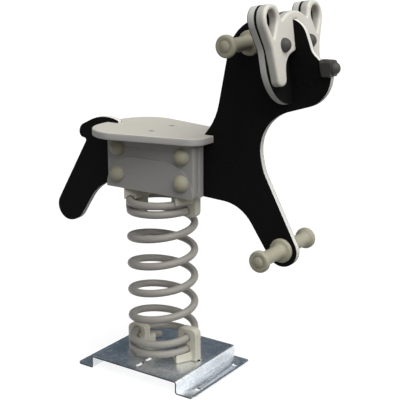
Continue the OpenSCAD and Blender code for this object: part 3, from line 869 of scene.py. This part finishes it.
def dress(node: str, name: str, bm: BMesh, finish: Finish, body: Body = Body.RIDER) -> None:
    """Finish a piece that stands for a node and moves with a body.

    Args:
        node: The node that it replaces.
        name: Name of the piece.
        bm: Its mesh, which is freed.
        finish: Its finish.
        body: The body that it rides on.
    """
    obj = as_object(name, bm, finish)
    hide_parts(node)
    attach(obj, body.value)


@dataclass
class BasePlate:
    """The folded plate on the ground."""

    edge: float = 0.0006

    def build(self) -> None:
        """Soften the plate's edges and dress it."""
        dress("base_plate", "folded_plate", softened_copy("base_plate", self.edge), ZINC, Body.BASE)


@dataclass
class SpringClamps:
    """The four moulded clamps that hold the spring's end turns."""

    cell: float = 0.0011
    passes: int = 8

    def build(self) -> None:
        """Mould each clamp from its node."""
        for level, body in (("lower", Body.BASE), ("upper", Body.RIDER)):
            for end in ("front", "rear"):
                node = f"{level}_{end}_clamp"
                clamp = moulded_copy(node, self.cell, self.passes)
                dress(node, f"moulded_{node}", clamp, CLAMP_PLASTIC, body)


@dataclass
class CoilSpring:
    """The coil spring: one wire, drawn in two halves."""

    wire: float = 0.017
    coil: float = 0.144
    turns: float = 8.0
    start_angle: float = math.radians(131)
    bottom_pitch: float = 0.022
    top_pitch: float = 0.0195
    bottom_closed: float = 1.5
    top_closed: float = 1.74
    pitch_change: float = 0.3
    rings: int = 72
    sides: int = 28
    bend_room: float = 0.020
    clamp_height: float = 0.062

    def __post_init__(self) -> None:
        """Take the spring's ends from its node."""
        low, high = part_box("spring")
        self.low = low.z + self.wire / 2
        self.high = high.z - self.wire / 2
        closed = self.bottom_pitch * self.bottom_closed + self.top_pitch * self.top_closed
        free_turns = self.turns - self.bottom_closed - self.top_closed
        self.free_pitch = (self.high - self.low - closed) / free_turns

    def eased(self, turns: float) -> float:
        """Count the turns past a change of pitch, with the change eased in.

        Args:
            turns: Turns from the middle of the change, negative before it.

        Returns:
            The turns that count.
        """
        half = self.pitch_change / 2
        if abs(turns) < half:
            return (turns + half) ** 2 / (2 * self.pitch_change)
        return max(turns, 0.0)

    def height(self, turns: float) -> float:
        """Height of the wire's middle.

        Args:
            turns: Place along the wire, in turns from its lower end.

        Returns:
            The height over the ground.
        """
        opening = (self.free_pitch - self.bottom_pitch) * self.eased(turns - self.bottom_closed)
        closing = (self.free_pitch - self.top_pitch) * self.eased(turns - self.turns + self.top_closed)
        return self.low + self.bottom_pitch * turns + opening - closing

    def tube(self, first: float, last: float) -> BMesh:
        """Draw the wire between two places.

        Args:
            first: Where it starts, in turns.
            last: Where it stops, in turns.

        Returns:
            The closed tube.
        """
        bm = bmesh.new()
        bmesh.ops.create_circle(bm, segments=self.sides, radius=self.wire / 2)
        upright = Matrix.Rotation(math.pi / 2, 4, "X")
        spot = Matrix.Translation((self.coil / 2, 0, self.height(first)))
        begin = Matrix.Rotation(self.start_angle + math.tau * first, 4, "Z")
        bmesh.ops.transform(bm, matrix=begin @ spot @ upright, verts=bm.verts)
        loop = bm.edges[:]
        count = round((last - first) * self.rings)
        share = (last - first) / count
        for step in range(count):
            here = first + step * share
            rise = self.height(here + share) - self.height(here)
            move = Matrix.Translation((0, 0, rise)) @ Matrix.Rotation(math.tau * share, 4, "Z")
            ring, loop = extruded(bm, loop)
            bmesh.ops.transform(bm, matrix=move, verts=ring)
        bmesh.ops.holes_fill(bm, edges=[edge for edge in bm.edges if edge.is_boundary], sides=0)
        bmesh.ops.recalc_face_normals(bm, faces=bm.faces)
        return bm

    def build(self) -> None:
        """Draw both halves and bake them in place."""
        middle = self.turns / 2
        centre = self.height(middle)
        lower = as_object("spring_lower_half", self.tube(0, middle), SPRING_PAINT)
        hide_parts("spring")
        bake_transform(lower)
        upper = as_object("spring_upper_half", self.tube(middle, self.turns), SPRING_PAINT)
        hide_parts("spring")
        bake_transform(upper)


@dataclass
class BodySheet:
    """The animal's body, cut from one layered sheet."""

    rims: Rims = both_rims(Y_AXIS, radius=0.0009, steps=3)

    def build(self) -> None:
        """Round the sheet's rims and dress it."""
        dress("body_panel", "body_sheet", rounded_sheet("body_panel", *self.rims), BLACK_SHEET)


@dataclass
class SeatBox:
    """The box of side plates under the seat, with its flaps and domed caps."""

    plate_rim: float = 0.0045
    plate_corner: float = 0.007
    flap_rim: float = 0.0008
    flap_groove: float = 0.0017
    flap_steps: int = 2
    cap: Dome = Dome(width=0.038, height=0.016, rim=0.0005)

    def plates(self, side: Side) -> None:
        """Dress the two plates and the flap of one side.

        Args:
            side: The side to dress.
        """
        inner, outer, flap = (f"{side.label}_{part}" for part in ("inner_plate", "outer_plate", "flap"))
        plate = rounded_sheet(inner, corner=Rounding(Z_AXIS, self.plate_rim))
        dress(inner, f"{inner}_board", plate, GREY_SHEET)
        corner = Rounding(Y_AXIS, self.plate_corner)
        plate = rounded_sheet(outer, *both_rims(Y_AXIS, self.plate_rim), corner=corner)
        dress(outer, f"{outer}_board", plate, GREY_SHEET)
        outward = side.value * Y_AXIS
        front = Rounding(outward, self.flap_rim, self.flap_steps)
        back = Rounding(-outward, self.flap_groove, self.flap_steps)
        dress(flap, f"{flap}_sheet", rounded_sheet(flap, front, back), GREY_SHEET)

    def caps(self, side: Side) -> None:
        """Set the four domed caps of one side: the lower pair on the flap, the upper pair on the plate.

        Args:
            side: The side to dress.
        """
        node = f"{side.label}_stud_caps"
        low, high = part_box(node)
        inset = self.cap.width / 2
        axis = side.value * Y_AXIS
        flap = max(abs(corner.y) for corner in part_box(f"{side.label}_flap"))
        plate = max(abs(corner.y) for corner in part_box(f"{side.label}_outer_plate"))
        domes = [
            domed(self.cap, Vector((x, side.value * y, z)), axis)
            for x in (low.x + inset, high.x - inset)
            for z, y in ((low.z + inset, flap), (high.z - inset, plate))
        ]
        dress(node, f"{side.label}_domed_caps", joined(domes), KHAKI_PLASTIC)

    def build(self) -> None:
        """Dress both sides."""
        for side in Side:
            self.plates(side)
            self.caps(side)


@dataclass
class Seat:
    """The seat board and its two countersunk screws."""

    rims: Rims = both_rims(Z_AXIS, radius=0.0026)
    head_width: float = 0.012
    head_depth: float = 0.0035
    head_facets: int = 36
    shank: float = 0.006
    socket_width: float = 0.0046
    socket_depth: float = 0.0024
    socket_sides: int = 6

    def screw(self, top: Vector, length: float) -> BMesh:
        """Make a countersunk screw with a hexagon socket.

        Args:
            top: Middle of the head's face.
            length: Full length of the screw.

        Returns:
            The screw's mesh.
        """
        bm = bmesh.new()
        bmesh.ops.create_circle(bm, segments=self.head_facets, radius=self.head_width / 2)
        outer = bm.edges[:]
        socket = self.socket_width / 2 / math.cos(math.pi / self.socket_sides)
        bmesh.ops.create_circle(bm, segments=self.socket_sides, radius=socket)
        inner = [edge for edge in bm.edges if edge not in outer]
        bmesh.ops.bridge_loops(bm, edges=bm.edges[:])
        bottom, _ = extruded(bm, inner)
        bmesh.ops.translate(bm, verts=bottom, vec=(0, 0, -self.socket_depth))
        bmesh.ops.contextual_create(bm, geom=bottom)
        width, depth = self.head_width, 0.0
        for next_width, next_depth in ((self.shank, self.head_depth), (self.shank, length)):
            ring, outer = extruded(bm, outer)
            bmesh.ops.scale(bm, verts=ring, vec=(next_width / width, next_width / width, 1))
            bmesh.ops.translate(bm, verts=ring, vec=(0, 0, depth - next_depth))
            width, depth = next_width, next_depth
        bmesh.ops.contextual_create(bm, geom=ring)
        bmesh.ops.recalc_face_normals(bm, faces=bm.faces)
        bmesh.ops.translate(bm, verts=bm.verts, vec=top)
        return bm

    def build(self) -> None:
        """Dress the board and set its screws."""
        dress("seat", "seat_board", rounded_sheet("seat", *self.rims), LIGHT_SHEET)
        low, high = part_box("seat_screws")
        inset = self.head_width / 2
        screws = [
            self.screw(Vector(((low.x + high.x) / 2, y, high.z)), high.z - low.z)
            for y in (low.y + inset, high.y - inset)
        ]
        dress("seat_screws", "seat_socket_screws", joined(screws), SCREW_PAINT)


@dataclass
class Grips:
    """The turned handles and foot pegs, with a domed plug in each end."""

    flange: float = 0.051
    flange_thickness: float = 0.008
    flange_back_round: float = 0.0015
    flange_round: float = 0.0035
    neck: float = 0.004
    neck_round: float = 0.0045
    shaft: float = 0.029
    flare: float = 0.005
    flare_round: float = 0.005
    ring: float = 0.045
    ring_thickness: float = 0.013
    ring_back_round: float = 0.004
    ring_round: float = 0.005
    bore: float = 0.0105
    plug: float = 0.024
    plug_depth: float = 0.011
    plug_gap: float = 0.0003
    plug_rise: float = 0.004
    recess_round: float = 0.001

    def grip(self, length: float, base: Vector, axis: Vector) -> BMesh:
        """Turn one grip.

        Args:
            length: Length of the grip.
            base: Middle of its flange's flat side.
            axis: Direction from flange to end ring.

        Returns:
            The grip's mesh.
        """
        ring_start = length - self.ring_thickness
        plug_seat = length - self.plug_depth
        recess = self.plug / 2 + self.plug_gap
        profile = (
            Corner(self.bore / 2, 0),
            Corner(self.flange / 2, 0, self.flange_back_round),
            Corner(self.flange / 2, self.flange_thickness, self.flange_round),
            Corner(self.shaft / 2, self.flange_thickness + self.neck, self.neck_round),
            Corner(self.shaft / 2, ring_start - self.flare, self.flare_round),
            Corner(self.ring / 2, ring_start, self.ring_back_round),
            Corner(self.ring / 2, length, self.ring_round),
            Corner(recess, length, self.recess_round),
            Corner(recess, plug_seat),
            Corner(self.bore / 2, plug_seat),
        )
        return turned(profile, base, axis)

    def build(self) -> None:
        """Turn the four grips and set their plugs."""
        plugs = []
        plug = Dome(self.plug, self.plug_depth + self.plug_rise, self.plug_depth)
        for side in Side:
            axis = side.value * Y_AXIS
            for kind in ("handle", "foot_peg"):
                node = f"{side.label}_{kind}"
                low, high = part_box(node)
                middle = (low + high) / 2
                near = min(abs(low.y), abs(high.y))
                length = high.y - low.y
                base = Vector((middle.x, side.value * near, middle.z))
                dress(node, f"turned_{node}", self.grip(length, base, axis), KHAKI_PLASTIC)
                plugs.append(domed(plug, base + axis * (length - self.plug_depth), axis))
        dress("grip_plugs", "domed_plugs", joined(plugs), KHAKI_PLASTIC)


@dataclass
class Face:
    """The two leaning face plates and the eyes."""

    mask_front: Rounding = Rounding(FACE_NORMAL, radius=0.0048, steps=6)
    mask_back: Rounding = Rounding(-FACE_NORMAL, radius=0.0022)
    plate_rims: Rims = both_rims(FACE_NORMAL, radius=0.0009, steps=3)
    eye: Dome = Dome(width=0.028, height=0.013, rim=0.0015)

    def plates(self) -> None:
        """Round the plates' rims and dress them."""
        mask = rounded_sheet("face_mask", self.mask_front, self.mask_back)
        dress("face_mask", "white_mask", mask, MASK_SHEET)
        plate = rounded_sheet("face_back_plate", *self.plate_rims)
        dress("face_back_plate", "black_face_plate", plate, FACE_SHEET)

    def eyes(self) -> None:
        """Set the two domed eyes on the mask."""
        low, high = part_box("eyes")
        _, front = reach("face_mask", FACE_NORMAL)
        middle = (low + high) / 2
        middle.y = 0
        middle += FACE_NORMAL * (front - middle.dot(FACE_NORMAL))
        out = (high.y - self.eye.width / 2) * Y_AXIS
        domes = [domed(self.eye, middle + side.value * out, FACE_NORMAL) for side in Side]
        dress("eyes", "domed_eyes", joined(domes), DARK_PLASTIC)

    def build(self) -> None:
        """Dress the plates and set the eyes."""
        self.plates()
        self.eyes()


@dataclass
class Nose:
    """The moulded block over the snout's end and its ball."""

    cell: float = 0.0008
    passes: int = 8
    ball_rim: float = 0.001

    def build(self) -> None:
        """Mould the block and set the ball."""
        block = moulded_copy("nose_block", self.cell, self.passes)
        dress("nose_block", "moulded_nose_block", block, BLOCK_PLASTIC)
        low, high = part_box("nose_ball")
        base = Vector((low.x, (low.y + high.y) / 2, (low.z + high.z) / 2))
        ball = Dome(high.z - low.z, high.x - low.x, self.ball_rim)
        dress("nose_ball", "domed_nose_ball", domed(ball, base, X_AXIS), DARK_PLASTIC)


@dataclass
class Hardware:
    """Bolts, nuts, studs, screws and brackets."""

    edge: float = 0.0004
    softened: tuple[str, ...] = (
        "head_brackets", "head_bracket_bolts", "head_bracket_nuts", "head_bracket_screws", "mount_plate",
        "lower_clamp_bolts", "lower_clamp_washers", "upper_clamp_bolts",
    )
    plain: tuple[str, ...] = (
        "mount_plate_screws", "box_studs", "box_nuts", "grip_rods", "grip_nuts", "eye_bolts", "nose_screw",
    )

    def build(self) -> None:
        """Soften what can be seen, and plate the rest as it is."""
        for node in self.softened:
            body = Body.BASE if node.startswith("lower") else Body.RIDER
            dress(node, f"plated_{node}", softened_copy(node, self.edge), STEEL, body)
        for node in self.plain:
            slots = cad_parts[node].data.materials
            slots.clear()
            slots.append(STEEL.material())


@dataclass
class Studio:
    """Floor, light and camera."""

    camera_place: Triple = (1.20353, -1.60964, 0.93475)
    camera_azimuth: float = math.radians(34.39)
    camera_tilt: float = math.radians(15.09)
    camera_lens: float = 83.84
    camera_reach: float = 200.0
    sensor: float = 36.0
    floor_half: float = 40.0
    floor_albedo: float = 0.12
    floor_shown: float = 0.26
    floor_glow: float = 0.80
    ambient: float = 0.30
    sky: Colour = (1.0, 1.0, 1.0)
    ceiling: Colour = (0.055, 0.08, 0.105)
    ceiling_range: Range = (0.04, 0.26)
    key_from: Triple = (0.55, -0.20, 0.81)
    key_level: float = 1.0
    key_angle: float = math.radians(70)

    def show(self, graph: Graph, end: str, lighting: Node, shown: Node) -> None:
        """End a graph with one shader for rays that only light, and another for rays that show.

        Args:
            graph: The graph.
            end: Type of its output node.
            lighting: Shader for light that falls on things.
            shown: Shader for the camera, reflections and glass.
        """
        path = graph.add("LightPath").outputs
        shiny = graph.math("MAXIMUM", path["Is Glossy Ray"], path["Is Transmission Ray"])
        seen = graph.math("MAXIMUM", path["Is Camera Ray"], shiny)
        choice = graph.add("MixShader", {0: seen, 1: lighting.outputs[0], 2: shown.outputs[0]})
        graph.add(end, {"Surface": choice.outputs[0]})

    def floor_paint(self) -> Material:
        """Make the floor's paint, which shows white and keeps a faint shadow.

        Returns:
            The material.
        """
        made = bpy.data.materials.new("floor_paint")
        made.use_nodes = True
        graph = Graph(made.node_tree)
        plain = graph.add("BsdfDiffuse", {"Color": (self.floor_albedo,) * 3})
        pale = graph.add("BsdfDiffuse", {"Color": (self.floor_shown,) * 3})
        glow = graph.add("Emission", {"Strength": self.floor_glow})
        both = graph.add("AddShader", {0: pale.outputs[0], 1: glow.outputs[0]})
        self.show(graph, "OutputMaterial", plain, both)
        return made

    def floor(self) -> None:
        """Lay a wide floor."""
        bm = bmesh.new()
        bmesh.ops.create_grid(bm, x_segments=1, y_segments=1, size=self.floor_half)
        mesh = bpy.data.meshes.new("floor")
        bm.to_mesh(mesh)
        bm.free()
        mesh.materials.append(self.floor_paint())
        placed("floor", mesh)

    def world(self) -> None:
        """Light the scene from all round, with white to be seen and a dark ceiling to be reflected."""
        world = bpy.data.worlds.new("studio")
        bpy.context.scene.world = world
        world.use_nodes = True
        graph = Graph(world.node_tree)
        light = graph.add("Background", {"Strength": self.ambient})
        ray = graph.add("TexCoord").outputs["Generated"]
        part = graph.add("SeparateXYZ", {0: ray}).outputs
        rise = graph.ramp(graph.math("SUBTRACT", part["Z"], part["X"]), *self.ceiling_range)
        camera = graph.add("LightPath").outputs["Is Camera Ray"]
        dark = graph.math("MULTIPLY", rise, graph.math("SUBTRACT", 1.0, camera))
        sight = graph.add("Background", {"Color": graph.mix(dark, self.sky, self.ceiling)})
        self.show(graph, "OutputWorld", light, sight)

    def key_light(self) -> None:
        """Hang the soft key light, high on the animal's face side."""
        key = bpy.data.lights.new("key", "SUN")
        key.energy = math.pi * self.key_level
        key.angle = self.key_angle
        lamp = placed("key", key)
        lamp.rotation_mode = "QUATERNION"
        lamp.rotation_quaternion = Vector(self.key_from).to_track_quat("Z", "Y")

    def camera(self) -> None:
        """Stand the camera where the photograph was taken from."""
        data = bpy.data.cameras.new("camera")
        data.lens = self.camera_lens
        data.sensor_width = self.sensor
        data.clip_end = self.camera_reach
        camera = placed("camera", data)
        camera.location = self.camera_place
        camera.rotation_euler = (math.pi / 2 - self.camera_tilt, 0, self.camera_azimuth)
        bpy.context.scene.camera = camera

    def build(self) -> None:
        """Set up the studio."""
        bpy.context.scene.view_settings.view_transform = "Standard"
        self.floor()
        self.world()
        self.key_light()
        self.camera()


def main() -> None:
    """Build the studio and every sub-assembly, in order."""
    logging.basicConfig(level=logging.INFO)
    parts = (
        Studio, BasePlate, SpringClamps, CoilSpring, BodySheet, SeatBox, Seat, Grips, Face, Nose, Hardware,
    )
    for part in parts:
        part().build()
        LOG.info("built %s", part.__name__)


if __name__ == "__main__":
    main()
